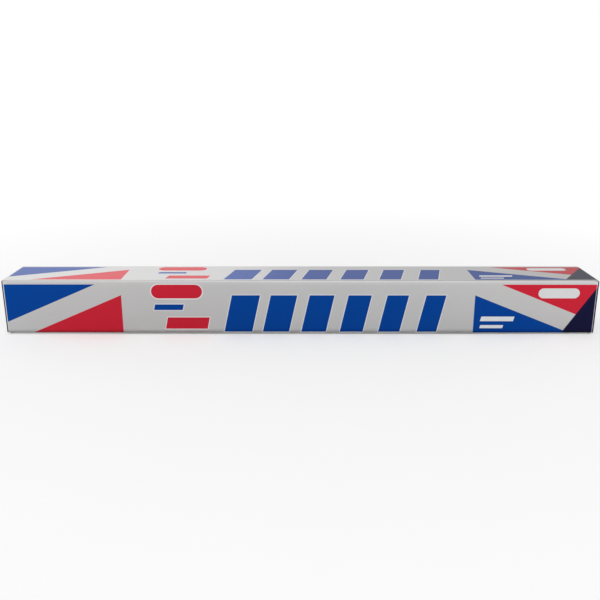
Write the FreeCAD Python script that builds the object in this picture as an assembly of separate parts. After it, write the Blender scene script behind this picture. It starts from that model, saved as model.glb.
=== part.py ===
import FreeCAD, Part
import math
import os

# Boxed roll of kitchen foil. A folded board carton holds the roll, its lid swings on the top rear
# crease, and a toothed steel strip on the lid's lower edge cuts the foil.
# Millimetres. X runs along the roll, the front faces -Y and +Z is up. The origin is on the table,
# under the middle of the closed carton.

# Foil and core
FOIL_WIDTH = 450.0
FOIL_LENGTH = 30000.0
FOIL_THICKNESS = 0.012
WINDING_SLACK = 1.03  # wound layers take this many times their own thickness
CORE_BORE_RADIUS = 14.0
CORE_WALL = 1.5
CORE_OVERHANG = 1.0  # core past the foil at each end
WINDING_GAP = 0.05  # between the core and the first turn
TAIL_STEP = 0.15  # height of the foil's free edge above the turn below
TAIL_ANGLE = 62.0  # free edge on the roll, in degrees up from the front
END_RING_COUNT = 5  # grooves that the wound layers leave in each end
END_RING_DEPTH = 0.3
END_RING_WIDTH = 0.3

# Room for the roll in the carton
END_PLAY = 3.5
SIDE_ROOM = 2.75
HEADROOM = 5.0
SEAT_GAP = 0.2

# Board and folds
BOARD = 0.5
FOLD_RADIUS = 1.0  # outside radius of a fold in one layer of board
CREASE_GAP = 0.3  # across the lid's crease

# Carton body
FRONT_WALL_DROP = 0.4  # front wall below the lid's underside
DUST_FLAP_LENGTH = 18.0
DUST_FLAP_BEVEL = 3.0
DUST_FLAP_DROP = 1.0  # top of the dust flaps below the front wall's top
END_FLAP_TAPER = 1.5  # how far each side of the outer end flap leans in at its top
CORNER_NOTCH = 0.5  # open corner of the blank above the base folds

# Lid
FLAP_GAP = 0.6  # from the lid's front flap to the front wall
LID_END_GAP = 0.3
FLAP_LIFT = 1.6  # lower edge of the front flap above the table
TAB_LENGTH = 12.0
TAB_BEVEL = 3.0
WING_FOOT = 17.0  # length of the side wing's lower edge
WING_LIFT = 3.0  # that edge above the front flap's own
WING_HEEL = 8.0  # height of the wing's rear edge, below the top
WING_SETBACK = 3.0  # from the wing's rear edge to the back of the carton

# Cutter strip
CUTTER_THICKNESS = 0.2
CUTTER_BAND = 8.0  # strip above the flap's lower edge
CUTTER_LENGTH = 452.0
TOOTH_PITCH = 2.0
TOOTH_PROUD = 1.0  # teeth below the flap's lower edge
TOOTH_ROOT = 0.4  # gullets above the flap's lower edge

# Sizes that follow
core_radius = CORE_BORE_RADIUS + CORE_WALL
core_length = FOIL_WIDTH + 2 * CORE_OVERHANG
wound_area = FOIL_LENGTH * FOIL_THICKNESS * WINDING_SLACK
first_turn_radius = core_radius + WINDING_GAP
roll_radius = math.sqrt(first_turn_radius**2 + wound_area / math.pi)

inner_length = core_length + 2 * END_PLAY
inner_depth = 2 * (roll_radius + SIDE_ROOM)
inner_height = SEAT_GAP + 2 * roll_radius + HEADROOM

depth = inner_depth + 3 * BOARD + FLAP_GAP
height = inner_height + 2 * BOARD
body_length = inner_length + 4 * BOARD
lid_length = body_length + 2 * LID_END_GAP + 4 * BOARD
end_fold = FOLD_RADIUS + BOARD  # fold of a layer that wraps over another

lid_front_y = -depth / 2
flap_inner_y = lid_front_y + BOARD
wall_front_y = flap_inner_y + FLAP_GAP
back_y = depth / 2
roll_y = back_y - BOARD - SIDE_ROOM - roll_radius
roll_z = BOARD + SEAT_GAP + roll_radius
front_wall_top = height - BOARD - FRONT_WALL_DROP
flat_body_end = body_length / 2 - end_fold
flat_lid_end = lid_length / 2 - end_fold
body_flap_root = flat_body_end - BOARD  # flaps start a little inside the panel that they grow from
lid_flap_root = flat_lid_end - BOARD

X = FreeCAD.Vector(1, 0, 0)
Y = FreeCAD.Vector(0, 1, 0)
Z = FreeCAD.Vector(0, 0, 1)


def at(x, y, z):
    return FreeCAD.Vector(x, y, z)


def rounded_wire(points, radii):
    """Closed wire through the points, with an arc of the given radius at each one that has a radius."""
    count = len(points)
    entries = []
    exits = []
    edges = []
    arcs = []
    for i, corner in enumerate(points):
        back = (points[i - 1] - corner).normalize()
        ahead = (points[(i + 1) % count] - corner).normalize()
        half_angle = back.getAngle(ahead) / 2
        reach = radii[i] / math.tan(half_angle)
        entries.append(corner + back * reach)
        exits.append(corner + ahead * reach)
        if radii[i] > 0:
            middle_gap = radii[i] / math.sin(half_angle) - radii[i]
            middle = corner + (back + ahead).normalize() * middle_gap
            arcs.append(Part.Arc(entries[i], middle, exits[i]).toShape())
        else:
            arcs.append(None)
    for i in range(count):
        if arcs[i]:
            edges.append(arcs[i])
        edges.append(Part.LineSegment(exits[i], entries[(i + 1) % count]).toShape())
    return Part.Wire(edges)


def prism(points, sweep):
    """Solid swept from a sharp-cornered outline."""
    outline = Part.makePolygon(points + points[:1])
    return Part.Face(outline).extrude(sweep)


def folded_board(outside, plane_normal, fold, sweep):
    """Board folded along an open line of points, which is its outside, and swept into a solid.

    The thickness lies to the left of the line, seen from the tip of plane_normal.
    """
    last = len(outside) - 1
    inside = []
    for i, point in enumerate(outside):
        normals = []
        if i > 0:
            normals.append(plane_normal.cross(point - outside[i - 1]).normalize())
        if i < last:
            normals.append(plane_normal.cross(outside[i + 1] - point).normalize())
        offset = normals[0]
        if len(normals) == 2:
            offset = (normals[0] + normals[1]) / (1 + normals[0].dot(normals[1]))
        inside.append(point + offset * BOARD)
    folds = [0.0] + [fold] * (last - 1) + [0.0]
    inner_folds = [max(radius - BOARD, 0.0) for radius in folds]
    outline = rounded_wire(outside + inside[::-1], folds + inner_folds[::-1])
    return Part.Face(outline).extrude(sweep)


def crease_wedge(above):
    """Small wedge on one side of the mitre through the lid's crease."""
    reach = 2 * end_fold
    shift = CREASE_GAP / 2 * math.sqrt(2)
    sign = 1 if above else -1
    y = back_y + sign * shift
    low = at(-lid_length, y - reach, height - reach)
    high = at(-lid_length, y + reach, height + reach)
    side = at(-lid_length, y - reach, height + reach) if above else at(-lid_length, y + reach, height - reach)
    return prism([low, high, side], X * 2 * lid_length)


def both_ends(shape):
    """The shape and its mirror image at the other end of the carton."""
    return [shape, shape.mirror(at(0, 0, 0), X)]


def body_wrap():
    """Front wall, base and back wall, up to the crease."""
    start = -flat_body_end
    line = [
        at(start, wall_front_y, front_wall_top),
        at(start, wall_front_y, 0),
        at(start, back_y, 0),
        at(start, back_y, height),
        at(start, back_y - end_fold, height),
    ]
    wrap = folded_board(line, X, FOLD_RADIUS, X * 2 * flat_body_end)
    return wrap.cut(crease_wedge(True))


def dust_flap(wall_y, toward):
    """Inner end flap that folds in from the front or the back wall."""
    outer_x = body_length / 2 - BOARD
    foot = FOLD_RADIUS + CORNER_NOTCH
    top = front_wall_top - DUST_FLAP_DROP
    tip_y = wall_y + toward * DUST_FLAP_LENGTH
    line = [
        at(body_flap_root, wall_y, foot),
        at(outer_x, wall_y, foot),
        at(outer_x, tip_y, foot),
    ]
    flap = folded_board(line, Z * toward, FOLD_RADIUS, Z * (top - foot))
    for edge_z, inward in ((foot, 1), (top, -1)):
        bevel = [
            at(0, tip_y, edge_z),
            at(0, tip_y - toward * DUST_FLAP_BEVEL, edge_z),
            at(0, tip_y, edge_z + inward * DUST_FLAP_BEVEL),
        ]
        flap = flap.cut(prism(bevel, X * body_length))
    return flap


def outer_end_flap():
    """Flap that folds up from the base and is glued over the dust flaps."""
    outer_x = body_length / 2
    low_front = wall_front_y + FOLD_RADIUS + CORNER_NOTCH
    low_back = back_y - FOLD_RADIUS - CORNER_NOTCH
    line = [
        at(body_flap_root, low_front, 0),
        at(outer_x, low_front, 0),
        at(outer_x, low_front, front_wall_top),
    ]
    flap = folded_board(line, -Y, end_fold, Y * (low_back - low_front))
    outline = [
        at(0, low_front, 0),
        at(0, low_back, 0),
        at(0, low_back - END_FLAP_TAPER, front_wall_top),
        at(0, low_front + END_FLAP_TAPER, front_wall_top),
    ]
    return flap.common(prism(outline, X * body_length))


def carton_body():
    flaps = []
    for flap in (dust_flap(wall_front_y, 1), dust_flap(back_y, -1), outer_end_flap()):
        flaps += both_ends(flap)
    return body_wrap().multiFuse(flaps).removeSplitter()


def lid_wrap():
    """Top panel and front flap, from the crease to the flap's lower edge."""
    start = -flat_lid_end
    line = [
        at(start, back_y, height - end_fold),
        at(start, back_y, height),
        at(start, lid_front_y, height),
        at(start, lid_front_y, FLAP_LIFT),
    ]
    wrap = folded_board(line, X, FOLD_RADIUS, X * 2 * flat_lid_end)
    return wrap.cut(crease_wedge(False))


def corner_tab():
    """End of the front flap, folded back and glued over the side wing."""
    outer_x = lid_length / 2
    top = height - FOLD_RADIUS
    tip_y = lid_front_y + TAB_LENGTH
    line = [
        at(lid_flap_root, lid_front_y, FLAP_LIFT),
        at(outer_x, lid_front_y, FLAP_LIFT),
        at(outer_x, tip_y, FLAP_LIFT),
    ]
    tab = folded_board(line, Z, end_fold, Z * (top - FLAP_LIFT))
    for edge_z, inward in ((FLAP_LIFT, 1), (top, -1)):
        bevel = [
            at(0, tip_y, edge_z),
            at(0, tip_y - TAB_BEVEL, edge_z),
            at(0, tip_y, edge_z + inward * TAB_BEVEL),
        ]
        tab = tab.cut(prism(bevel, X * lid_length))
    return tab


def side_wing():
    """Flap that hangs from the top panel's end, outside the carton's end wall."""
    outer_x = lid_length / 2 - BOARD
    front = lid_front_y + end_fold
    rear = back_y - WING_SETBACK
    foot = FLAP_LIFT + WING_LIFT
    line = [
        at(outer_x, front, foot),
        at(outer_x, front, height),
        at(lid_flap_root, front, height),
    ]
    wing = folded_board(line, -Y, FOLD_RADIUS, Y * (rear - front))
    outline = [
        at(0, front, foot),
        at(0, front + WING_FOOT, foot),
        at(0, rear, height - WING_HEEL),
        at(0, rear, height),
        at(0, front, height),
    ]
    return wing.common(prism(outline, X * lid_length))


def carton_lid():
    flaps = both_ends(side_wing()) + both_ends(corner_tab())
    return lid_wrap().multiFuse(flaps).removeSplitter()


def cutter_blade():
    """Steel strip with a row of teeth, fixed inside the lid's front flap."""
    count = int(CUTTER_LENGTH / TOOTH_PITCH)
    start = -count * TOOTH_PITCH / 2
    root_z = FLAP_LIFT + TOOTH_ROOT
    tip_z = FLAP_LIFT - TOOTH_PROUD
    teeth = [at(start, flap_inner_y, root_z)]
    for i in range(count):
        teeth.append(at(start + (i + 0.5) * TOOTH_PITCH, flap_inner_y, tip_z))
        teeth.append(at(start + (i + 1) * TOOTH_PITCH, flap_inner_y, root_z))
    band_z = FLAP_LIFT + CUTTER_BAND
    band = [at(-start, flap_inner_y, band_z), at(start, flap_inner_y, band_z)]
    return prism(teeth + band, Y * CUTTER_THICKNESS)


def ring(inner_radius, outer_radius, start_x, length):
    """Tube round the roll's axis."""
    centre = at(start_x, roll_y, roll_z)
    outer = Part.makeCylinder(outer_radius, length, centre, X)
    return outer.cut(Part.makeCylinder(inner_radius, length, centre, X))


def foil_roll():
    """The wound foil: a spiral whose last turn ends in a free edge, with grooved ends."""
    turn = []
    steps = 48
    for i in range(steps + 1):
        share = i / steps
        angle = math.radians(TAIL_ANGLE) + share * 2 * math.pi
        radius = roll_radius - TAIL_STEP * (1 - share)
        turn.append(at(-FOIL_WIDTH / 2, roll_y - radius * math.cos(angle), roll_z + radius * math.sin(angle)))
    spiral = Part.BSplineCurve()
    spiral.interpolate(turn)
    outline = Part.Wire([spiral.toShape(), Part.LineSegment(turn[-1], turn[0]).toShape()])
    hollow = Part.makeCylinder(first_turn_radius, FOIL_WIDTH, at(-FOIL_WIDTH / 2, roll_y, roll_z), X)
    roll = Part.Face(outline).extrude(X * FOIL_WIDTH).cut(hollow)
    pitch = (roll_radius - first_turn_radius) / (END_RING_COUNT + 1)
    grooves = []
    for i in range(END_RING_COUNT):
        radius = first_turn_radius + (i + 1) * pitch - END_RING_WIDTH / 2
        groove = ring(radius, radius + END_RING_WIDTH, FOIL_WIDTH / 2 - END_RING_DEPTH, END_RING_DEPTH)
        grooves += both_ends(groove)
    return roll.cut(Part.makeCompound(grooves))


def core_tube():
    return ring(CORE_BORE_RADIUS, core_radius, -core_length / 2, core_length)


PARTS = {
    "carton_body": carton_body,
    "carton_lid": carton_lid,
    "cutter_blade": cutter_blade,
    "foil_roll": foil_roll,
    "core_tube": core_tube,
}


def main():
    os.makedirs("parts", exist_ok=True)
    for name, build in PARTS.items():
        shape = build()
        shape.exportStep(os.path.join("parts", name + ".step"))
        box = shape.BoundBox
        print(
            f"{name}: {len(shape.Solids)} solid, {shape.Volume / 1000:.2f} cm3, "
            f"{box.XLength:.1f} x {box.YLength:.1f} x {box.ZLength:.1f} mm, valid {shape.isValid()}"
        )
    print(f"closed carton: {lid_length:.1f} x {depth:.1f} x {height:.1f} mm, roll radius {roll_radius:.2f}")


main()
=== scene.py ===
"""Dresses a boxed roll of kitchen foil: silver board carton, hinged lid, cutter, foil and core."""

import math

import bmesh
import bpy
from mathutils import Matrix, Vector, noise


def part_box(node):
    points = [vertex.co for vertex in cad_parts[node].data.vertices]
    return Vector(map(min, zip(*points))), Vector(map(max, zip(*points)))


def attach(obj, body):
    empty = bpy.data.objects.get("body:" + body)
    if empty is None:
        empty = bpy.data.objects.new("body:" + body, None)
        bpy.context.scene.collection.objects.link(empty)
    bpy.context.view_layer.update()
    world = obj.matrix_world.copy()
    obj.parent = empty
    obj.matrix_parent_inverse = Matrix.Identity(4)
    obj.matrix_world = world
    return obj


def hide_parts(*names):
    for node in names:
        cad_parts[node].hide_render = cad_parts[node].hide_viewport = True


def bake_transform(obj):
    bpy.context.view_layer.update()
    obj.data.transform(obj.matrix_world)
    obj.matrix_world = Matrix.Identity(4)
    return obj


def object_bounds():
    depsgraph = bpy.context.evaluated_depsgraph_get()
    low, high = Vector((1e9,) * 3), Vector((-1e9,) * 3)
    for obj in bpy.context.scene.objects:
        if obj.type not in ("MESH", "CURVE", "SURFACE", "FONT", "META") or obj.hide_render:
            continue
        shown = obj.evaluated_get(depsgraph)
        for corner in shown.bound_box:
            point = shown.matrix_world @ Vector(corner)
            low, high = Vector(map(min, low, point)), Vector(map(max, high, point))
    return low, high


bl_info = {
    "name": "Boxed foil roll",
    "version": (1, 0, 0),
    "blender": (4, 5, 0),
    "location": "3D View > Sidebar > Foil",
    "description": "Dresses the solids of a boxed foil roll with board, ink, foil and steel",
    "category": "Object",
}

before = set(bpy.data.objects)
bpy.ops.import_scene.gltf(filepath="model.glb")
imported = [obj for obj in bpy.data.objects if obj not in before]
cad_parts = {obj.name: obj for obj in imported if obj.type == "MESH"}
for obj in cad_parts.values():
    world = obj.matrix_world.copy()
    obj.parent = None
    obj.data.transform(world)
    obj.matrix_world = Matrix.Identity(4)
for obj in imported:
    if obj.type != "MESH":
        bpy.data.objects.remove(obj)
cad_low, cad_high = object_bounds()
MM = 0.001

# Places that the solids give
lid_low, lid_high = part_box("carton_lid")
body_low, body_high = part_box("carton_body")
roll_low, roll_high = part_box("foil_roll")
core_low, core_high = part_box("core_tube")
lid_half = lid_high.x
lid_front = lid_low.y
lid_top = lid_high.z
flap_foot = lid_low.z
body_half = body_high.x
body_front = body_low.y
body_back = body_high.y

# Part of the rear fold, in degrees, that the crease strip covers
CREASE_START = 20.0
CREASE_END = 70.0

# Steps in the meshes of the board
COLUMNS = 132  # along a long panel
BODY_ROWS = 12  # across a panel of the body
LID_ROWS = 14  # across a panel of the lid
FOLD_STEPS = 6  # round a fold in one layer
END_FOLD_STEPS = 8  # round a fold over another layer
CREASE_STEPS = 10  # round the crease strip
REST_STEPS = 3  # round the rest of the rear fold, on either side of the strip

# A board's materials after its silver film, which comes first
RAW_SIDE = 1
CUT_EDGE = 2


# Materials


class Value:
    """A number in a material. Sums on it add the nodes that work them out."""

    def __init__(self, finish, socket):
        self.finish = finish
        self.socket = socket

    def math(self, operation, *others, clamp=False):
        settings = {"operation": operation, "use_clamp": clamp}
        return self.finish.add("Math", settings, dict(enumerate((self, *others))))

    def after(self, operation, first):
        """The operation on a first value, with this one second."""
        return self.finish.add("Math", {"operation": operation}, {0: first, 1: self})

    def __add__(self, other):
        return self.math("ADD", other)

    __radd__ = __add__

    def __sub__(self, other):
        return self.math("SUBTRACT", other)

    def __rsub__(self, other):
        return self.after("SUBTRACT", other)

    def __mul__(self, other):
        return self.math("MULTIPLY", other)

    __rmul__ = __mul__

    def __truediv__(self, other):
        return self.math("DIVIDE", other)

    def __rtruediv__(self, other):
        return self.after("DIVIDE", other)

    def __abs__(self):
        return self.math("ABSOLUTE")

    def fraction(self):
        return self.math("FRACT")

    def whole(self):
        return self.math("FLOOR")

    def least(self, other):
        return self.math("MINIMUM", other)

    def most(self, other):
        return self.math("MAXIMUM", other)

    def root(self):
        return self.math("SQRT")

    def over(self, edge, soft):
        """1 where the value is over the edge and 0 where it is under, turning over the soft width."""
        return ((self - edge) / soft).math("ADD", 0.5, clamp=True)

    def under(self, edge, soft):
        return 1 - self.over(edge, soft)

    def between(self, low, high, soft):
        return self.over(low, soft) * self.under(high, soft)


class Finish:
    """A material, or the world, under construction."""

    def __init__(self, name, kind="materials"):
        self.made = getattr(bpy.data, kind).new(name)
        self.made.use_nodes = True
        self.tree = self.made.node_tree
        self.tree.nodes.clear()

    def add(self, kind, settings=None, inputs=None, output=0):
        """Adds a node: its settings first, then the values or links of its sockets."""
        node = self.tree.nodes.new("ShaderNode" + kind)
        for key, value in (settings or {}).items():
            setattr(node, key, value)
        for key, value in (inputs or {}).items():
            if isinstance(value, Value):
                self.tree.links.new(value.socket, node.inputs[key])
            else:
                node.inputs[key].default_value = value
        return Value(self, node.outputs[output]) if node.outputs else None

    def place(self, scale=(1.0, 1.0, 1.0)):
        """The piece's own coordinates in millimetres, times the scale."""
        own = self.add("TexCoord", output=3)
        stretch = [s / MM for s in scale]
        return self.add("VectorMath", {"operation": "MULTIPLY"}, {0: own, 1: stretch})

    def axes(self):
        place = self.place()
        return [self.add("SeparateXYZ", None, {0: place}, output=i) for i in range(3)]

    def noise(self, scale, detail, rough):
        """Noise from 0 to 1. The scale gives the cycles in a millimetre along each axis."""
        return self.add(
            "TexNoise",
            None,
            {"Vector": self.place(scale), "Scale": 1.0, "Detail": detail, "Roughness": rough},
        )

    def mix(self, share, first, second):
        return self.add("Mix", {"data_type": "RGBA"}, {0: share, 6: first, 7: second}, output=2)

    def tint(self, colour, share):
        """The colour made lighter or darker by a share that changes over the surface."""
        grey = self.add("CombineColor", None, {0: share, 1: share, 2: share})
        settings = {"data_type": "RGBA", "blend_type": "MULTIPLY"}
        return self.add("Mix", settings, {0: 1.0, 6: colour, 7: grey}, output=2)

    def bump(self, height, distance, strength):
        return self.add("Bump", None, {"Height": height, "Distance": distance, "Strength": strength})

    def surface(self, **sockets):
        """Ends the material with one surface shader. Underscores in a name stand for spaces."""
        inputs = {key.replace("_", " "): value for key, value in sockets.items()}
        shader = self.add("BsdfPrincipled", None, inputs)
        self.add("OutputMaterial", None, {"Surface": shader})
        return self.made


def rgb(colour):
    return (*colour, 1.0)


def printed_board(ink):
    """Silver laminated board, printed on the lid's front flap and top panel."""
    finish = Finish("silver_film")
    x, y, z = finish.axes()
    soft = ink.edge / MM
    height = lid_top / MM
    along = x + lid_half / MM
    behind = y - lid_front / MM
    below = height - z
    skin = 0.45  # how far under the lid's front and top a point still counts as their face
    printed_face = behind.least(below).under(skin, soft)

    # Both panels carry the print upright, from a margin at their front or lower edge
    margin = ink.margin / MM
    top_margin = 1.6 * margin
    up_front = z - margin
    up_top = behind - top_margin
    on_front = below.over(behind, soft)
    up = up_top + on_front * (up_front - up_top)
    field = height - 2.9 * margin  # height of the print

    def shape(*corners, grow=0.0):
        """Filled outline. Its corners run counterclockwise, in millimetres along and up a panel."""
        inside = printed_face
        for (a, b), (c, d) in zip(corners, corners[1:] + corners[:1]):
            length = math.dist((a, b), (c, d))
            depth = (up - b) * ((c - a) / length) - (along - a) * ((d - b) / length)
            inside = inside * depth.over(-grow, soft)
        return inside

    def pill(left, right, low, high, grow=0.0):
        radius = (high - low) / 2
        across = (abs(along - (left + right) / 2) - ((right - left) / 2 - radius)).most(0.0)
        rise = up - (low + high) / 2
        return (across * across + rise * rise).root().under(radius + grow, soft) * printed_face

    def leaning_bars(first, last, pitch, grow=0.0):
        """Bars in a row, each narrower than the one before."""
        lean, widest, narrowing, foot, head = 0.22, 22.0, 1.3, 0.6, 30.5
        leaning = along - up * lean + grow
        place = (leaning - first) / pitch
        width = widest + 2 * grow - place.whole() * narrowing
        bars = (width - place.fraction() * pitch).over(0.0, soft) * leaning.between(first, last, soft)
        return bars * up.between(foot - grow, head + grow, soft) * printed_face

    # Wedges at the two ends, on either side of a bare slanting band
    bare = 0.22  # share of a wedge's length and height that the band takes
    left, right = 2.0, 92.5
    band = bare * (right - left)
    step = bare * field
    left_blue = shape((left, field), (left, step), (right - band, field))
    left_red = shape((right, 0.0), (right, field - step), (left + band, 0.0))
    left, right = 368.0, 2 * lid_half / MM
    right_red = shape((right, step), (right, field), (left + band, field))
    right_blue = shape((left, field - step), (left, 0.0), (right - band, 0.0))
    right_navy = shape((right + 1, 0.0), (right + 1, field), (right, field), (right - 1.3 * band, 0.0))

    # Bars and small shapes between them, with thin white rims
    rim, badge_rim = 0.6, 0.9
    bar_row = (172.0, 353.8, 30.3)
    badge_place = (116.0, 155.6, 27.9, 39.0)
    short_corners = (117.5, 18.4), (140.0, 18.4), (141.0, 23.0), (118.5, 23.0)
    long_corners = (126.0, 3.0), (159.0, 3.0), (161.0, 12.4), (128.0, 12.4)
    bars = leaning_bars(*bar_row)
    badge = pill(*badge_place)
    short_bar = shape(*short_corners)
    long_bar = shape(*long_corners)
    rims = leaning_bars(*bar_row, grow=rim).most(pill(*badge_place, grow=badge_rim))
    rims = rims.most(shape(*short_corners, grow=rim)).most(shape(*long_corners, grow=rim))
    white_pill = pill(417.0, 449.0, 28.2, 36.2)
    white_bars = shape((373.0, 9.4), (399.0, 9.4), (400.0, 13.2), (374.0, 13.2))
    white_bars = white_bars.most(shape((373.0, 3.6), (391.0, 3.6), (391.7, 6.2), (373.7, 6.2)))

    blue = left_blue.most(right_blue).most(bars).most(short_bar)
    red = left_red.most(right_red).most(badge).most(long_bar)
    white = white_pill.most(white_bars)
    opaque = white.most(rims - rims.least(blue.most(red)))

    # Dark ink over the upright folds at the two ends: painted shade where the board turns to the end panels,
    # and at the right end also the navy print running on over the fold
    end_gap = lid_half / MM - abs(x)
    fold_width, fold_depth = 1.4, 2.5
    end_ink_and_shade = end_gap.under(fold_width, 0.3) * behind.under(fold_depth, soft)

    grain = finish.noise((0.12, 6.0, 6.0), 4.0, 0.65)
    mottle = finish.noise((0.03, 0.05, 0.05), 3.0, 0.55)
    speckle = finish.noise((2.6, 2.6, 2.6), 2.0, 0.5)
    colour = finish.mix(opaque, rgb(ink.silver), rgb(ink.white))
    colour = finish.mix(blue, colour, rgb(ink.blue))
    colour = finish.mix(red, colour, rgb(ink.red))
    # The navy also paints the shade on the upright end folds
    colour = finish.mix(right_navy.most(end_ink_and_shade), colour, rgb(ink.navy))
    colour = finish.mix(white, colour, rgb(ink.white))

    # Film rubbed pale where the board is folded, partly wear and partly a painted highlight along the folds,
    # and a thin painted highlight beside the upright folds
    bend = behind.least(below).most(behind.least(end_gap)).most(below.least(end_gap))
    fold_rub_and_highlight = bend.between(0.04, 0.6, 0.08) * (0.35 + speckle * 0.5) * (1 - end_ink_and_shade)
    # A thin pale line on the front beside each upright fold: a painted highlight
    highlight_start, highlight_end, highlight_depth = 1.5, 2.0, 0.3
    painted_end_highlight = end_gap.between(highlight_start, highlight_end, 0.15) * behind.under(highlight_depth, soft)
    colour = finish.mix(fold_rub_and_highlight * 0.25 + painted_end_highlight * 0.55, colour, rgb(ink.rubbed_and_highlight))
    colour = finish.tint(colour, 0.93 + mottle * 0.06 + grain * 0.08)
    return finish.surface(
        Base_Color=colour,
        # Dull and rough where the end folds carry painted shade
        Metallic=0.92 - opaque * 0.9 - end_ink_and_shade * 0.85 - fold_rub_and_highlight * 0.15,
        Roughness=0.3 + grain * 0.1 + speckle * 0.05 + fold_rub_and_highlight * 0.12 + end_ink_and_shade * 0.5,
        Normal=finish.bump(grain * 0.6 + speckle * 0.4 + mottle * 3.0, 0.02 * MM, 0.6),
    )


def raw_board(colour):
    """Uncoated grey inner side of the board, with short fibres."""
    finish = Finish("raw_board")
    fibres = finish.noise((1.1, 5.0, 5.0), 5.0, 0.7)
    cloud = finish.noise((0.05, 0.05, 0.05), 3.0, 0.6)
    flecks = finish.noise((3.4, 3.4, 3.4), 1.0, 0.4).over(0.69, 0.04)
    shade = 0.84 + fibres * 0.18 + cloud * 0.14 - flecks * 0.18
    return finish.surface(
        Base_Color=finish.tint(rgb(colour), shade),
        Roughness=0.82 + fibres * 0.12,
        Normal=finish.bump(fibres + flecks * 0.3, 0.05 * MM, 0.5),
    )


def board_edge(colour):
    """Cut edge of the board, darker than its faces and rough with fibres."""
    finish = Finish("board_edge")
    fibres = finish.noise((4.0, 9.0, 9.0), 4.0, 0.7)
    return finish.surface(
        Base_Color=finish.tint(rgb(colour), 0.72 + fibres * 0.5),
        Roughness=0.9,
        Normal=finish.bump(fibres, 0.08 * MM, 0.7),
    )


def blade_steel(colour):
    """Thin bright strip steel, brushed along its length."""
    finish = Finish("blade_steel")
    brushed = finish.noise((0.2, 14.0, 14.0), 3.0, 0.6)
    smudge = finish.noise((0.12, 0.3, 0.3), 2.0, 0.5)
    return finish.surface(
        Base_Color=finish.tint(rgb(colour), 0.85 + brushed * 0.15 + smudge * 0.1),
        Metallic=1.0,
        Roughness=0.24 + brushed * 0.14 + smudge * 0.08,
        Normal=finish.bump(brushed, 0.01 * MM, 0.5),
    )


def wound_foil(colour):
    """Bright side of the foil, with rolling lines round the roll and slack dimples."""
    finish = Finish("bright_foil")
    rolled = finish.noise((7.0, 0.08, 0.08), 3.0, 0.6)
    sheen = finish.noise((0.006, 0.35, 0.35), 3.0, 0.6)
    slack = finish.noise((0.05, 0.14, 0.14), 2.0, 0.45)
    creases = abs(finish.noise((0.13, 0.3, 0.3), 3.0, 0.55) - 0.5).under(0.012, 0.02)
    return finish.surface(
        Base_Color=finish.tint(rgb(colour), 0.55 + sheen * 0.6 + rolled * 0.12 + creases * 0.1),
        Metallic=1.0,
        Roughness=0.2 + rolled * 0.12 + creases * 0.06,
        Normal=finish.bump(slack * 6.0 + rolled * 0.12 + creases * 0.25, 0.05 * MM, 0.7),
    )


def foil_edges(colour):
    """Ends of the roll, where the turns show edge on as fine rings."""
    finish = Finish("foil_edges")
    _, y, z = finish.axes()
    middle = (roll_low + roll_high) / (2 * MM)
    away_y = y - middle.y
    away_z = z - middle.z
    radius = (away_y * away_y + away_z * away_z).root()
    turns = finish.add(
        "TexNoise",
        {"noise_dimensions": "1D"},
        {"W": radius * 9.0, "Scale": 1.0, "Detail": 4.0, "Roughness": 0.75},
    )
    patches = finish.noise((0.3, 0.12, 0.12), 2.0, 0.5)
    return finish.surface(
        Base_Color=finish.tint(rgb(colour), 0.62 + turns * 0.5 + patches * 0.1),
        Metallic=0.9,
        Roughness=0.34 + turns * 0.2,
        Normal=finish.bump(turns, 0.12 * MM, 0.8),
    )


def core_board(colour):
    """Wound brown board, with the slanting seams of its plies."""
    finish = Finish("core_board")
    x, y, z = finish.axes()
    middle = (core_low + core_high) / (2 * MM)
    turn = (z - middle.z).math("ARCTAN2", y - middle.y) / (2 * math.pi)
    lead = 74.0  # a seam's way along the tube in one turn
    ply = (x / lead + turn).fraction()
    seam = abs(ply - 0.5).under(0.006, 0.004)
    fibres = finish.noise((1.4, 4.0, 4.0), 5.0, 0.7)
    cloud = finish.noise((0.06, 0.1, 0.1), 3.0, 0.6)
    return finish.surface(
        Base_Color=finish.tint(rgb(colour), 0.8 + fibres * 0.22 + cloud * 0.14 - seam * 0.22),
        Roughness=0.78 + fibres * 0.14,
        Normal=finish.bump(fibres - seam, 0.06 * MM, 0.6),
    )


def seen_rays(finish):
    """1 for what the camera sees straight on, and 1 for what it sees in a reflection or through glass."""
    camera = finish.add("LightPath", output=0)
    glossy = finish.add("LightPath", output=3)
    through = finish.add("LightPath", output=6)
    return camera, glossy.most(through)


def floor_paper(colour, glow, reach):
    """Pale seamless paper, which keeps the carton's shadow and fades into the white around it."""
    finish = Finish("floor_paper")
    x, y, _ = finish.axes()
    camera, shine = seen_rays(finish)
    tooth = finish.noise((0.02, 0.02, 0.02), 4.0, 0.6)
    inputs = {
        "Base Color": finish.tint(rgb(colour), 0.985 + tooth * 0.02),
        "Roughness": 0.9,
        "Emission Color": finish.tint(rgb(colour), camera * glow),
        "Emission Strength": 1.0,
    }
    paper = finish.add("BsdfPrincipled", None, inputs)
    white = finish.add("Emission", None, {"Color": rgb((1.0, 1.0, 1.0)), "Strength": 1.0})
    away = (x * x + y * y).root().over(reach / MM, 1.2 * reach / MM)
    seen = finish.add("MixShader", None, {0: away * camera.most(shine), 1: paper, 2: white})
    finish.add("OutputMaterial", None, {"Surface": seen})
    return finish.made


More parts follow.
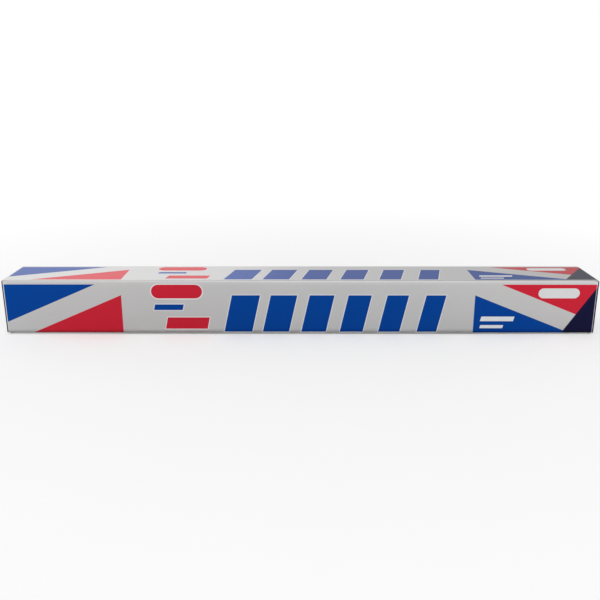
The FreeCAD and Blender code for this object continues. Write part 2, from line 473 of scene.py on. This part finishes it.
def studio_air(ambient, right_side, overhead):
    """White surroundings, which give less light than the camera sees.

    In reflections they fall off to the right and overhead.
    """
    finish = Finish("studio_air", "worlds")
    camera, shine = seen_rays(finish)
    direction = finish.add("TexCoord")
    across = finish.add("SeparateXYZ", None, {0: direction})
    upward = finish.add("SeparateXYZ", None, {0: direction}, output=2)
    sideways = 1 - across.over(0.17, 0.8) * (1 - right_side)
    above = 1 - upward.over(0.65, 0.5) * (1 - overhead)
    level = camera.most(shine * (sideways * above)).most(ambient)
    inputs = {"Color": finish.tint(rgb((1.0, 1.0, 1.0)), level), "Strength": 1.0}
    finish.add("OutputWorld", None, {"Surface": finish.add("Background", None, inputs)})
    return finish.made


# Meshes


def stations(half, spans):
    """Evenly spaced places along X, from one end to the other."""
    return [half * (2 * i / spans - 1) for i in range(spans + 1)]


def arc(centre, radius, start, end, steps):
    """Points of an arc, as (across, up, slack across, slack up). An arc has no slack."""
    points = []
    for i in range(steps + 1):
        angle = math.radians(start + (end - start) * i / steps)
        across = centre[0] + radius * math.cos(angle)
        up = centre[1] + radius * math.sin(angle)
        points.append((across, up, 0.0, 0.0))
    return points


def run(start, end, spans, inward=(0.0, 0.0)):
    """Points of a flat stretch after its start, in the same form. Its slack is the most in its middle."""
    points = []
    for i in range(1, spans + 1):
        share = i / spans
        slack = math.sin(math.pi * share)
        across = start[0] + (end[0] - start[0]) * share
        up = start[1] + (end[1] - start[1]) * share
        points.append((across, up, inward[0] * slack, inward[1] * slack))
    return points


def grid(bm, rows):
    faces = []
    for first, second in zip(rows, rows[1:]):
        for corners in zip(first, first[1:], second[1:], second):
            faces.append(bm.faces.new(corners))
    return faces


def wrap(bm, line, half, seed):
    """Board swept along X, with long shallow waves where it is slack."""
    wave_length = 0.07
    rows = []
    for x in stations(half, COLUMNS):
        free = 1 - abs(x / half) ** 8  # the flaps at the ends hold the board flat there
        wave = free * (0.6 + 0.4 * noise.noise(Vector((x / wave_length, seed, 0.0))))
        rows.append([bm.verts.new((x, a + da * wave, b + db * wave)) for a, b, da, db in line])
    grid(bm, rows)


def from_wall(x, y, z):
    """Point of a flap that hangs from a wall's upright end. Its root's places are heights."""
    return (x, y, z)


def from_panel(x, z, y):
    """Point of a flap that hangs from the end of the base or the top. Its root's places are depths."""
    return (x, y, z)


def bevel(length, width):
    """How far the corners of a flap are cut back at a distance along it."""
    return lambda distance: max(0.0, distance - (length - width))


def flap(bm, line, root, first, last, place):
    """Flap that hangs from the board's end along the line, at both ends of the carton.

    The root holds the places where it meets the board. At a distance along the line, the flap runs
    from first(distance) to last(distance), and place turns its measures into a point.
    """
    for side in (1, -1):
        rows = []
        travelled = 0.0
        before = line[0]
        for point in line:
            travelled += math.dist(before[:2], point[:2])
            before = point
            row = []
            for at in root:
                share = (at - root[0]) / (root[-1] - root[0])
                level = first(travelled) + (last(travelled) - first(travelled)) * share
                row.append(bm.verts.new(place(side * point[0], point[1], level)))
            rows.append(row)
        grid(bm, rows)


def board_piece(name, bm, materials, thickness):
    """Joins the sheet's panels and gives it the board's thickness, inwards from its printed face."""
    bmesh.ops.remove_doubles(bm, verts=bm.verts, dist=0.01 * MM)
    bmesh.ops.recalc_face_normals(bm, faces=bm.faces)
    middle = (cad_low + cad_high) / 2
    outward = sum(face.calc_area() * face.normal.dot(face.calc_center_median() - middle) for face in bm.faces)
    if outward < 0:
        bmesh.ops.reverse_faces(bm, faces=bm.faces)
    piece = mesh_piece(name, bm, materials)
    board = piece.modifiers.new("board", "SOLIDIFY")
    board.thickness = thickness
    board.offset = -1.0
    board.use_even_offset = True
    board.material_offset = RAW_SIDE
    board.material_offset_rim = CUT_EDGE
    return piece


def mesh_piece(name, bm, materials):
    mesh = bpy.data.meshes.new(name)
    for face in bm.faces:
        face.smooth = True
    bm.to_mesh(mesh)
    bm.free()
    piece = bpy.data.objects.new(name, mesh)
    bpy.context.scene.collection.objects.link(piece)
    for material in materials:
        mesh.materials.append(material)
    return piece


def material(name, build):
    """The material of this name, made by build the first time it is asked for."""
    return bpy.data.materials.get(name) or build()


def board_materials(scene):
    ink = scene.foil_print
    carton = scene.foil_carton
    return [
        material("silver_film", lambda: printed_board(ink)),
        material("raw_board", lambda: raw_board(carton.inside)),
        material("board_edge", lambda: board_edge(carton.cut_edge)),
    ]


# Settings


def colour_property(name, description, default):
    return bpy.props.FloatVectorProperty(
        name=name, description=description, default=default, size=3, min=0.0, max=1.0, subtype="COLOR"
    )


def length_property(name, description, default):
    return bpy.props.FloatProperty(
        name=name, description=description, default=default, min=0.0, unit="LENGTH", subtype="DISTANCE"
    )


def angle_property(name, description, degrees):
    return bpy.props.FloatProperty(
        name=name, description=description, default=math.radians(degrees), unit="ROTATION", subtype="ANGLE"
    )


def power_property(name, description, default):
    return bpy.props.FloatProperty(
        name=name, description=description, default=default, min=0.0, unit="POWER", subtype="POWER"
    )


def share_property(name, description, default):
    return bpy.props.FloatProperty(
        name=name, description=description, default=default, min=0.0, max=1.0, subtype="FACTOR"
    )


class PrintSettings(bpy.types.PropertyGroup):
    silver: colour_property("Silver", "Bare metallised board", (0.635, 0.628, 0.626))
    blue: colour_property("Blue", "Blue ink", (0.001, 0.063, 0.35))
    red: colour_property("Red", "Red ink", (0.67, 0.022, 0.045))
    # Navy also paints the shade on the upright end folds
    navy: colour_property("Navy", "Dark blue ink", (0.009, 0.009, 0.045))
    white: colour_property("White", "White ink", (0.84, 0.84, 0.85))
    # Also the colour of the painted highlights along the folds
    rubbed_and_highlight: colour_property("Rubbed", "Film rubbed pale along the folds", (0.86, 0.86, 0.87))
    edge: length_property("Ink edge", "Width over which an ink's edge softens", 0.00012)
    margin: length_property("Margin", "Bare board beside the print", 0.0017)


class CartonSettings(bpy.types.PropertyGroup):
    board: length_property("Board", "Thickness of the board", 0.0005)
    fold: length_property("Fold", "Outside radius of a fold in one layer", 0.001)
    notch: length_property("Corner notch", "Open corner above the base folds", 0.0005)
    slack: length_property("Slack", "How far a long panel dips in its middle", 0.00012)
    wall_drop: length_property("Wall drop", "Front wall below the lid's underside", 0.0004)
    dust_length: length_property("Dust flap", "Length of a dust flap", 0.018)
    dust_bevel: length_property("Dust flap corner", "Cut corner of a dust flap", 0.003)
    dust_drop: length_property("Dust flap drop", "Top of the dust flaps below the front wall", 0.001)
    end_taper: length_property("End flap taper", "Lean of the outer end flap's sides", 0.0015)
    tab_length: length_property("Tab", "Length of a corner tab", 0.012)
    tab_bevel: length_property("Tab corner", "Cut corner of a tab", 0.003)
    wing_foot: length_property("Wing foot", "Length of a side wing's lower edge", 0.017)
    wing_lift: length_property("Wing lift", "Wing's lower edge above the front flap's", 0.003)
    wing_heel: length_property("Wing heel", "Height of the wing's rear edge", 0.008)
    wing_setback: length_property("Wing setback", "Wing's rear edge before the back", 0.003)
    inside: colour_property("Inside", "Uncoated side of the board", (0.56, 0.53, 0.48))
    cut_edge: colour_property("Cut edge", "Fibres at a cut edge", (0.42, 0.39, 0.35))


class RollSettings(bpy.types.PropertyGroup):
    tail_angle: angle_property("Tail", "Free edge, up from the front", 62.0)
    tail_step: length_property("Tail step", "Free edge above the turn below", 0.00015)
    rings: bpy.props.IntProperty(name="Rings", description="Rings modelled in each end", default=26, min=4)
    stagger: length_property("Stagger", "How unevenly the turns end", 0.00022)
    core_wall: length_property("Core wall", "Thickness of the core's board", 0.0015)
    core_round: length_property("Core edge", "Rounding of the core's ends", 0.00025)
    foil: colour_property("Foil", "Bright side of the foil", (0.74, 0.745, 0.755))
    turns: colour_property("Turns", "Foil seen edge on", (0.7, 0.7, 0.71))
    core: colour_property("Core", "Brown board of the core", (0.42, 0.29, 0.18))
    steel: colour_property("Steel", "Cutter strip", (0.66, 0.66, 0.67))


class StudioSettings(bpy.types.PropertyGroup):
    lens: bpy.props.FloatProperty(
        name="Lens", description="Focal length on a 36 mm sensor", default=43.54, min=1.0, unit="CAMERA"
    )
    viewpoint: bpy.props.FloatVectorProperty(
        name="Viewpoint",
        description="Where the camera stands",
        default=(0.00111, -0.56388, 0.19235),
        unit="LENGTH",
        subtype="TRANSLATION",
    )
    tilt: angle_property("Tilt", "How far the camera looks down", 16.855)
    pan: angle_property("Pan", "How far the camera turns left", 0.122)
    floor: colour_property("Floor", "Seamless paper", (0.86, 0.86, 0.86))
    floor_glow: share_property("Floor glow", "Light that the paper shows to the camera alone", 0.32)
    floor_reach: length_property("Floor reach", "Where the paper begins to fade into white", 0.35)
    ambient: share_property("Ambient", "Strength of the even light from all round", 0.55)
    right_side: share_property("Right side", "White that reflections see at the right", 0.6)
    overhead: share_property("Overhead", "White that reflections see overhead", 0.55)
    key: power_property("Key", "Softbox above, at the left", 5.5)
    back: power_property("Back", "Low softbox behind, at the left", 1.1)
    fill: power_property("Fill", "Softbox beside the camera", 8.0)


# Pieces


class FOIL_OT_body(bpy.types.Operator):
    """Folds the carton's body from one sheet of board"""

    bl_idname = "foil.body"
    bl_label = "Carton body"

    def execute(self, context):
        sizes = context.scene.foil_carton
        board, fold = sizes.board, sizes.fold
        end_fold = fold + board
        wall_top = lid_top - board - sizes.wall_drop
        dust_foot = fold + sizes.notch
        dust_top = wall_top - sizes.dust_drop
        flap_front = body_front + fold + sizes.notch
        flap_back = body_back - fold - sizes.notch
        flat_half = body_half - end_fold
        slack = sizes.slack

        line = [(body_front, wall_top, 0.0, 0.0)]
        line += run((body_front, wall_top), (body_front, dust_top), 1)
        wall_rows = run((body_front, dust_top), (body_front, dust_foot), BODY_ROWS, (slack, 0.0))
        line += wall_rows
        line += run((body_front, dust_foot), (body_front, fold), 1)
        line += arc((body_front + fold, fold), fold, 180, 270, FOLD_STEPS)[1:]
        line += run((body_front + fold, 0.0), (flap_front, 0.0), 1)
        base_rows = run((flap_front, 0.0), (flap_back, 0.0), BODY_ROWS, (0.0, slack))
        line += base_rows
        line += run((flap_back, 0.0), (body_back - fold, 0.0), 1)
        line += arc((body_back - fold, fold), fold, 270, 360, FOLD_STEPS)[1:]
        line += run((body_back, fold), (body_back, dust_foot), 1)
        line += run((body_back, dust_foot), (body_back, dust_top), BODY_ROWS, (-slack, 0.0))
        line += run((body_back, dust_top), (body_back, lid_top - fold), 1)
        line += arc((body_back - fold, lid_top - fold), fold, 0, CREASE_START, REST_STEPS)[1:]

        bm = bmesh.new()
        wrap(bm, line, flat_half, 3.0)
        heights = [dust_top] + [row[1] for row in wall_rows]
        depths = [flap_front] + [row[0] for row in base_rows]
        dust_x = body_half - board
        cut = bevel(math.pi / 2 * fold + sizes.dust_length - fold, sizes.dust_bevel)

        def dust_low(distance):
            return dust_foot + cut(distance)

        def dust_high(distance):
            return dust_top - cut(distance)

        for wall_y, toward in ((body_front, 1), (body_back, -1)):
            start = wall_y + toward * fold
            bend = start + toward * (sizes.dust_length - fold - sizes.dust_bevel)
            tip = wall_y + toward * sizes.dust_length
            turn = arc((flat_half, start), fold, -90 * toward, 0, FOLD_STEPS)
            side = run((dust_x, start), (dust_x, bend), 5) + run((dust_x, bend), (dust_x, tip), 2)
            flap(bm, turn + side, heights, dust_high, dust_low, from_wall)

        rise = wall_top - end_fold
        turn = arc((flat_half, end_fold), end_fold, 270, 360, END_FOLD_STEPS)
        side = run((body_half, end_fold), (body_half, wall_top), 10)
        lean = sizes.end_taper / (rise + math.pi / 2 * end_fold)

        def end_front(distance):
            return flap_front + lean * distance

        def end_back(distance):
            return flap_back - lean * distance

        flap(bm, turn + side, depths, end_front, end_back, from_panel)

        piece = board_piece("body_board", bm, board_materials(context.scene), board)
        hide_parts("carton_body")
        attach(piece, "carton")
        return {"FINISHED"}


class FOIL_OT_lid(bpy.types.Operator):
    """Folds the hinged lid: top panel, front flap, side wings and corner tabs"""

    bl_idname = "foil.lid"
    bl_label = "Carton lid"

    def execute(self, context):
        sizes = context.scene.foil_carton
        board, fold = sizes.board, sizes.fold
        end_fold = fold + board
        flat_half = lid_half - end_fold
        wing_front = lid_front + end_fold
        wing_rear = body_back - sizes.wing_setback
        wing_foot = flap_foot + sizes.wing_lift
        slack = sizes.slack

        line = arc((body_back - fold, lid_top - fold), fold, CREASE_END, 90, REST_STEPS)
        line += run((body_back - fold, lid_top), (wing_rear, lid_top), 1)
        top_rows = run((wing_rear, lid_top), (wing_front, lid_top), LID_ROWS, (0.0, -slack))
        line += top_rows
        line += run((wing_front, lid_top), (lid_front + fold, lid_top), 1)
        line += arc((lid_front + fold, lid_top - fold), fold, 90, 180, FOLD_STEPS)[1:]
        flap_rows = run((lid_front, lid_top - fold), (lid_front, flap_foot), LID_ROWS, (slack, 0.0))
        line += flap_rows

        bm = bmesh.new()
        wrap(bm, line, flat_half, 7.0)
        depths = [wing_rear] + [row[0] for row in top_rows]
        heights = [lid_top - fold] + [row[1] for row in flap_rows]

        wing_x = lid_half - board
        heel_z = lid_top - sizes.wing_heel
        turn = arc((flat_half, lid_top - fold), fold, 90, 0, FOLD_STEPS)
        side = run((wing_x, lid_top - fold), (wing_x, heel_z), 2)
        side += run((wing_x, heel_z), (wing_x, wing_foot), 9)
        around = math.pi / 2 * fold
        heel = around + sizes.wing_heel - fold
        full = around + lid_top - fold - wing_foot
        slope = (wing_rear - wing_front - sizes.wing_foot) / (full - heel)

        def rear_edge(distance):
            """The wing's rear edge is upright to its heel, and leans forward below it."""
            return wing_rear - slope * max(0.0, distance - heel)

        flap(bm, turn + side, depths, rear_edge, lambda distance: wing_front, from_panel)

        start = lid_front + end_fold
        tip = lid_front + sizes.tab_length
        bend = tip - sizes.tab_bevel
        turn = arc((flat_half, start), end_fold, -90, 0, END_FOLD_STEPS)
        side = run((lid_half, start), (lid_half, bend), 4) + run((lid_half, bend), (lid_half, tip), 2)
        cut = bevel(math.pi / 2 * end_fold + sizes.tab_length - end_fold, sizes.tab_bevel)

        def tab_high(distance):
            return lid_top - fold - cut(distance)

        def tab_low(distance):
            return flap_foot + cut(distance)

        flap(bm, turn + side, heights, tab_high, tab_low, from_wall)

        piece = board_piece("lid_board", bm, board_materials(context.scene), board)
        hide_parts("carton_lid")
        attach(piece, "lid")
        return {"FINISHED"}


class FOIL_OT_crease(bpy.types.Operator):
    """Makes the scored board that curves round the rear fold, between the body and the lid"""

    bl_idname = "foil.crease"
    bl_label = "Crease"

    def execute(self, context):
        sizes = context.scene.foil_carton
        half = body_half - sizes.fold - sizes.board
        centre = (body_back - sizes.fold, lid_top - sizes.fold)
        outer = arc(centre, sizes.fold, CREASE_START, CREASE_END, CREASE_STEPS)
        pressed = 0.7  # share of the board's thickness that scoring leaves
        inset = sizes.board * pressed / math.sqrt(2)
        inner = [(a - inset, b - inset, 0.0, 0.0) for a, b, _, _ in outer]
        bm = bmesh.new()
        rows = []
        loop = outer + inner[::-1]
        for x in stations(half, COLUMNS):
            ring = [bm.verts.new((x, a, b)) for a, b, _, _ in loop]
            rows.append(ring + ring[:1])
        grid(bm, rows)
        bm.faces.new(rows[0][:-1])
        bm.faces.new(rows[-1][:-1][::-1])
        bmesh.ops.recalc_face_normals(bm, faces=bm.faces)
        middle = Vector((0.0, *centre))
        for face in bm.faces:
            away = face.calc_center_median() - middle
            away.x = 0.0
            if face.normal.dot(away) < 0:
                face.material_index = RAW_SIDE
        piece = mesh_piece("crease_board", bm, board_materials(context.scene))
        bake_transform(piece)
        return {"FINISHED"}


class FOIL_OT_blade(bpy.types.Operator):
    """Gives the toothed strip its brushed steel"""

    bl_idname = "foil.blade"
    bl_label = "Cutter blade"

    def execute(self, context):
        steel = context.scene.foil_roll.steel
        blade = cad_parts["cutter_blade"]
        blade.data.materials.clear()
        blade.data.materials.append(material("blade_steel", lambda: blade_steel(steel)))
        return {"FINISHED"}


class FOIL_OT_roll(bpy.types.Operator):
    """Winds the foil: a spiral with a free edge and staggered turns at its ends"""

    bl_idname = "foil.roll"
    bl_label = "Foil roll"

    def execute(self, context):
        sizes = context.scene.foil_roll
        middle = (roll_low + roll_high) / 2
        outer = (roll_high.z - roll_low.z) / 2
        winding_gap = 0.05 * MM
        inner = (core_high.z - core_low.z) / 2 + winding_gap
        half = roll_high.x
        columns, steps = 60, 180
        dent_length, dent_depth = 0.045, 0.05 * MM
        edge_on = 1  # the second material, for the ends

        def spot(x, radius, share):
            angle = sizes.tail_angle + share * 2 * math.pi
            return (x, middle.y - radius * math.cos(angle), middle.z + radius * math.sin(angle))

        bm = bmesh.new()
        lines = []
        for x in stations(half, columns):
            line = []
            for j in range(steps + 1):
                share = j / steps
                round_angle = share * 2 * math.pi
                radius = outer - sizes.tail_step * (1 - share)
                point = Vector((x / dent_length, math.cos(round_angle) * 2, math.sin(round_angle) * 2))
                dent = dent_depth * max(0.0, noise.noise(point))
                line.append(bm.verts.new(spot(x, radius - dent, share)))
            lines.append(line + line[:1])
        grid(bm, lines)
        for side, rim in ((1, lines[-1]), (-1, lines[0])):
            ring = rim[:-1]
            for k in range(1, sizes.rings + 1):
                share_in = k / sizes.rings
                radius = outer + (inner - outer) * share_in
                depth = sizes.stagger * (0.5 + 0.5 * noise.noise(Vector((k * 1.7, side * 5.0, 0.0))))
                fresh = []
                for j in range(steps + 1):
                    slip = sizes.tail_step * (1 - j / steps) * (1 - share_in)
                    fresh.append(bm.verts.new(spot(side * (half - depth), radius - slip, j / steps)))
                for face in grid(bm, [ring, fresh]):
                    face.material_index = edge_on
                ring = fresh
        bmesh.ops.remove_doubles(bm, verts=bm.verts, dist=0.001 * MM)
        bmesh.ops.recalc_face_normals(bm, faces=bm.faces)
        materials = [
            material("bright_foil", lambda: wound_foil(sizes.foil)),
            material("foil_edges", lambda: foil_edges(sizes.turns)),
        ]
        piece = mesh_piece("foil_winding", bm, materials)
        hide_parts("foil_roll")
        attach(piece, "carton")
        return {"FINISHED"}


class FOIL_OT_core(bpy.types.Operator):
    """Turns the brown board tube that the foil is wound on"""

    bl_idname = "foil.core"
    bl_label = "Core tube"

    def execute(self, context):
        sizes = context.scene.foil_roll
        middle = (core_low + core_high) / 2
        outer = (core_high.z - core_low.z) / 2
        wall, round_off = sizes.core_wall, sizes.core_round
        half = core_high.x
        inner = outer - wall
        section = [
            (-half + round_off, outer),
            (half - round_off, outer),
            (half, outer - round_off),
            (half, inner + round_off),
            (half - round_off, inner),
            (-half + round_off, inner),
            (-half, inner + round_off),
            (-half, outer - round_off),
        ]
        steps = 120
        bm = bmesh.new()
        rows = []
        for j in range(steps):
            angle = 2 * math.pi * j / steps
            ring = []
            for x, radius in section:
                place = (x, middle.y + radius * math.cos(angle), middle.z + radius * math.sin(angle))
                ring.append(bm.verts.new(place))
            rows.append(ring + ring[:1])
        grid(bm, rows + rows[:1])
        bmesh.ops.recalc_face_normals(bm, faces=bm.faces)
        piece = mesh_piece("core_board", bm, [material("core_board", lambda: core_board(sizes.core))])
        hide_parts("core_tube")
        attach(piece, "carton")
        return {"FINISHED"}


# Studio


def softbox(name, place, target, size, power):
    light = bpy.data.lights.new(name, "AREA")
    light.shape = "RECTANGLE"
    light.size, light.size_y = size
    light.energy = power
    lamp = bpy.data.objects.new(name, light)
    lamp.location = place
    lamp.rotation_euler = (Vector(target) - Vector(place)).to_track_quat("-Z", "Y").to_euler()
    bpy.context.scene.collection.objects.link(lamp)


class FOIL_OT_studio(bpy.types.Operator):
    """Sets the pale floor, the soft lights and the camera"""

    bl_idname = "foil.studio"
    bl_label = "Studio"

    def execute(self, context):
        scene = context.scene
        studio = scene.foil_studio
        self.paper(studio)
        self.lights(scene, studio)
        self.camera(scene, studio)
        scene.view_settings.view_transform = "Standard"
        return {"FINISHED"}

    def paper(self, studio):
        half = 12.0
        bm = bmesh.new()
        bmesh.ops.create_grid(bm, x_segments=2, y_segments=2, size=half)
        paper = floor_paper(studio.floor, studio.floor_glow, studio.floor_reach)
        floor = mesh_piece("studio_floor", bm, [paper])

    def lights(self, scene, studio):
        scene.world = studio_air(studio.ambient, studio.right_side, studio.overhead)
        softbox("key_box", (-0.9, -0.5, 1.5), (0.0, 0.0, 0.02), (2.2, 1.6), studio.key)
        softbox("back_box", (-0.8, 1.3, 0.5), (-0.1, 0.0, 0.04), (1.6, 0.7), studio.back)
        softbox("fill_box", (0.7, -1.5, 0.8), (0.0, 0.0, 0.02), (2.6, 1.8), studio.fill)

    def camera(self, scene, studio):
        lens = bpy.data.cameras.new("viewpoint")
        lens.sensor_width = 36.0
        lens.lens = studio.lens
        lens.clip_start = 0.01
        lens.clip_end = 60.0
        camera = bpy.data.objects.new("viewpoint", lens)
        camera.location = studio.viewpoint
        camera.rotation_euler = (math.pi / 2 - studio.tilt, 0.0, studio.pan)
        scene.collection.objects.link(camera)
        scene.camera = camera


class FOIL_PT_sidebar(bpy.types.Panel):
    """Lists the pieces of the boxed foil roll"""

    bl_idname = "FOIL_PT_sidebar"
    bl_label = "Boxed foil roll"
    bl_space_type = "VIEW_3D"
    bl_region_type = "UI"
    bl_category = "Foil"

    def draw(self, context):
        for operator in OPERATORS:
            self.layout.operator(operator.bl_idname)
        for group in SETTINGS:
            box = self.layout.box()
            settings = getattr(context.scene, group)
            for name in settings.bl_rna.properties.keys():
                if name not in ("rna_type", "name"):
                    box.prop(settings, name)


OPERATORS = (
    FOIL_OT_body,
    FOIL_OT_lid,
    FOIL_OT_crease,
    FOIL_OT_blade,
    FOIL_OT_roll,
    FOIL_OT_core,
    FOIL_OT_studio,
)
SETTINGS = {
    "foil_print": PrintSettings,
    "foil_carton": CartonSettings,
    "foil_roll": RollSettings,
    "foil_studio": StudioSettings,
}


def register():
    for group in SETTINGS.values():
        bpy.utils.register_class(group)
    for operator in OPERATORS:
        bpy.utils.register_class(operator)
    bpy.utils.register_class(FOIL_PT_sidebar)
    for name, group in SETTINGS.items():
        setattr(bpy.types.Scene, name, bpy.props.PointerProperty(type=group))


def unregister():
    for name in SETTINGS:
        delattr(bpy.types.Scene, name)
    bpy.utils.unregister_class(FOIL_PT_sidebar)
    for operator in reversed(OPERATORS):
        bpy.utils.unregister_class(operator)
    for group in reversed(SETTINGS.values()):
        bpy.utils.unregister_class(group)


def main():
    register()
    bpy.ops.foil.body()
    bpy.ops.foil.lid()
    bpy.ops.foil.crease()
    bpy.ops.foil.blade()
    bpy.ops.foil.roll()
    bpy.ops.foil.core()
    bpy.ops.foil.studio()
    bpy.context.view_layer.update()


if __name__ == "__main__":
    main()
